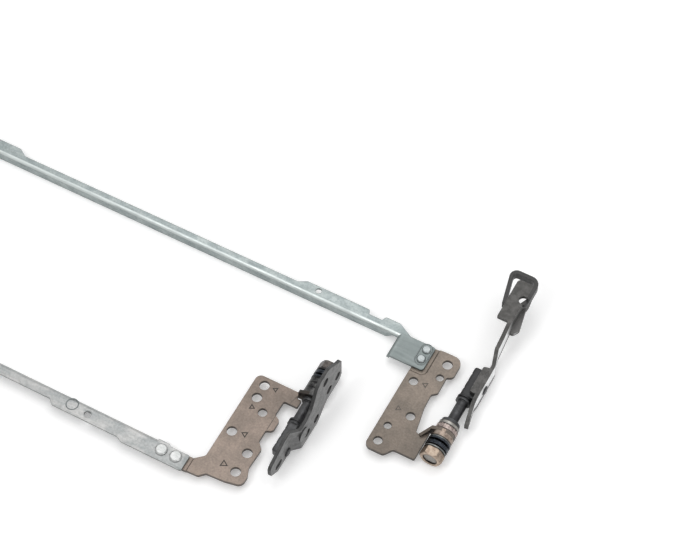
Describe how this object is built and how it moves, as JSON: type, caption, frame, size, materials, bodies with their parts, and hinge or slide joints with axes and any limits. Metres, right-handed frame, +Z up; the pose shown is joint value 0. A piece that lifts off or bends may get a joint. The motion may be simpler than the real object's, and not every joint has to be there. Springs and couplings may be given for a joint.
{
  "type": "laptop hinge pair",
  "caption": "Left and right laptop lid hinges with long lid rails, screw plates, friction barrels on a shaft and black base brackets.",
  "frame": {"origin": "under the middle of the pair's overall box, on the surface the hinges lie on", "axes": "+X along the lid rails towards the hinge barrels, +Y from the left hinge to the right hinge, +Z up from the surface"},
  "size_m": [0.249, 0.0986, 0.0204],
  "materials": {
    "zinc_plated_rail": "zinc plated, satin",
    "bronze_plate": "brown nickel, satin",
    "bright_rivet": "bright",
    "brown_ring": "oiled sintered steel",
    "black_shaft": "black plated",
    "copper_nut": "copper flash",
    "grey_washer": "satin",
    "blued_spring": "blued",
    "rose_ring": "oiled",
    "black_bracket": "black coated, satin"
  },
  "bodies": {
    "lid_side": {"right_lid_rail": "zinc_plated_rail", "right_lid_plate": "bronze_plate", "right_lid_rivets": "bright_rivet", "right_friction_washer": "brown_ring", "left_lid_rail": "zinc_plated_rail", "left_lid_plate": "bronze_plate", "left_lid_rivets": "bright_rivet", "left_fixed_cam": "brown_ring"},
    "right_base_side": {"right_hinge_shaft": "black_shaft", "right_hinge_nut": "copper_nut", "right_plain_washer": "grey_washer", "right_disc_springs": "blued_spring", "right_thin_washer": "grey_washer", "right_toothed_ring": "rose_ring", "right_stop_washer": "grey_washer", "right_base_bracket": "black_bracket", "right_base_rivet": "black_shaft"},
    "left_base_side": {"left_hinge_shaft": "black_shaft", "left_hinge_nut": "copper_nut", "left_plain_washer": "grey_washer", "left_disc_springs": "blued_spring", "left_thin_washer": "grey_washer", "left_friction_washer": "brown_ring", "left_moving_cam": "rose_ring", "left_base_bracket": "black_bracket", "left_base_rivet": "black_shaft"}
  },
  "joints": [
    {"name": "right_hinge", "type": "hinge", "parent": "lid_side", "child": "right_base_side", "pos_m": [0.11966, 0.0079, 0.0035], "axis": [0, 1, 0], "range_deg": [-90, 45]},
    {"name": "left_hinge", "type": "hinge", "parent": "lid_side", "child": "left_base_side", "pos_m": [0.08156, -0.0217, 0.0035], "axis": [0, 1, 0], "range_deg": [-90, 45]}
  ]
}
